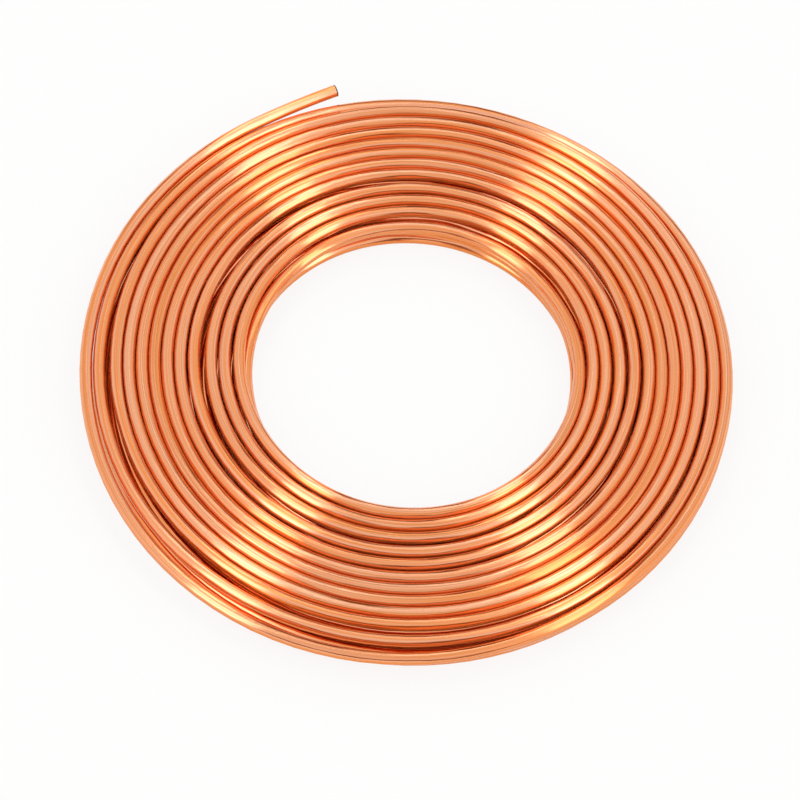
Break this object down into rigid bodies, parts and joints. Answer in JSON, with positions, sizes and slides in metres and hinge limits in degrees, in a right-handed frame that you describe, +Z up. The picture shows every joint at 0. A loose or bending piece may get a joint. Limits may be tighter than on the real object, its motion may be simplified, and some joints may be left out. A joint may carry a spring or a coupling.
{
  "type": "copper tube coil",
  "caption": "Flat coil of soft copper tube, wound turn beside turn in stacked layers, with a round eye and one loose cut end.",
  "frame": {"origin": "centre of the bounding box in plan, on the floor plane that the coil lies on", "axes": "+Z up, square to the flat of the coil; the loose end lies at the +Y side and points between +X and +Y"},
  "size_m": [0.6176, 0.6162, 0.0362],
  "materials": {
    "copper": "bright drawn copper, polished by the die, with faint lines along the tube"
  },
  "bodies": {
    "root": {"copper_tube_coil": "copper"}
  },
  "joints": []
}
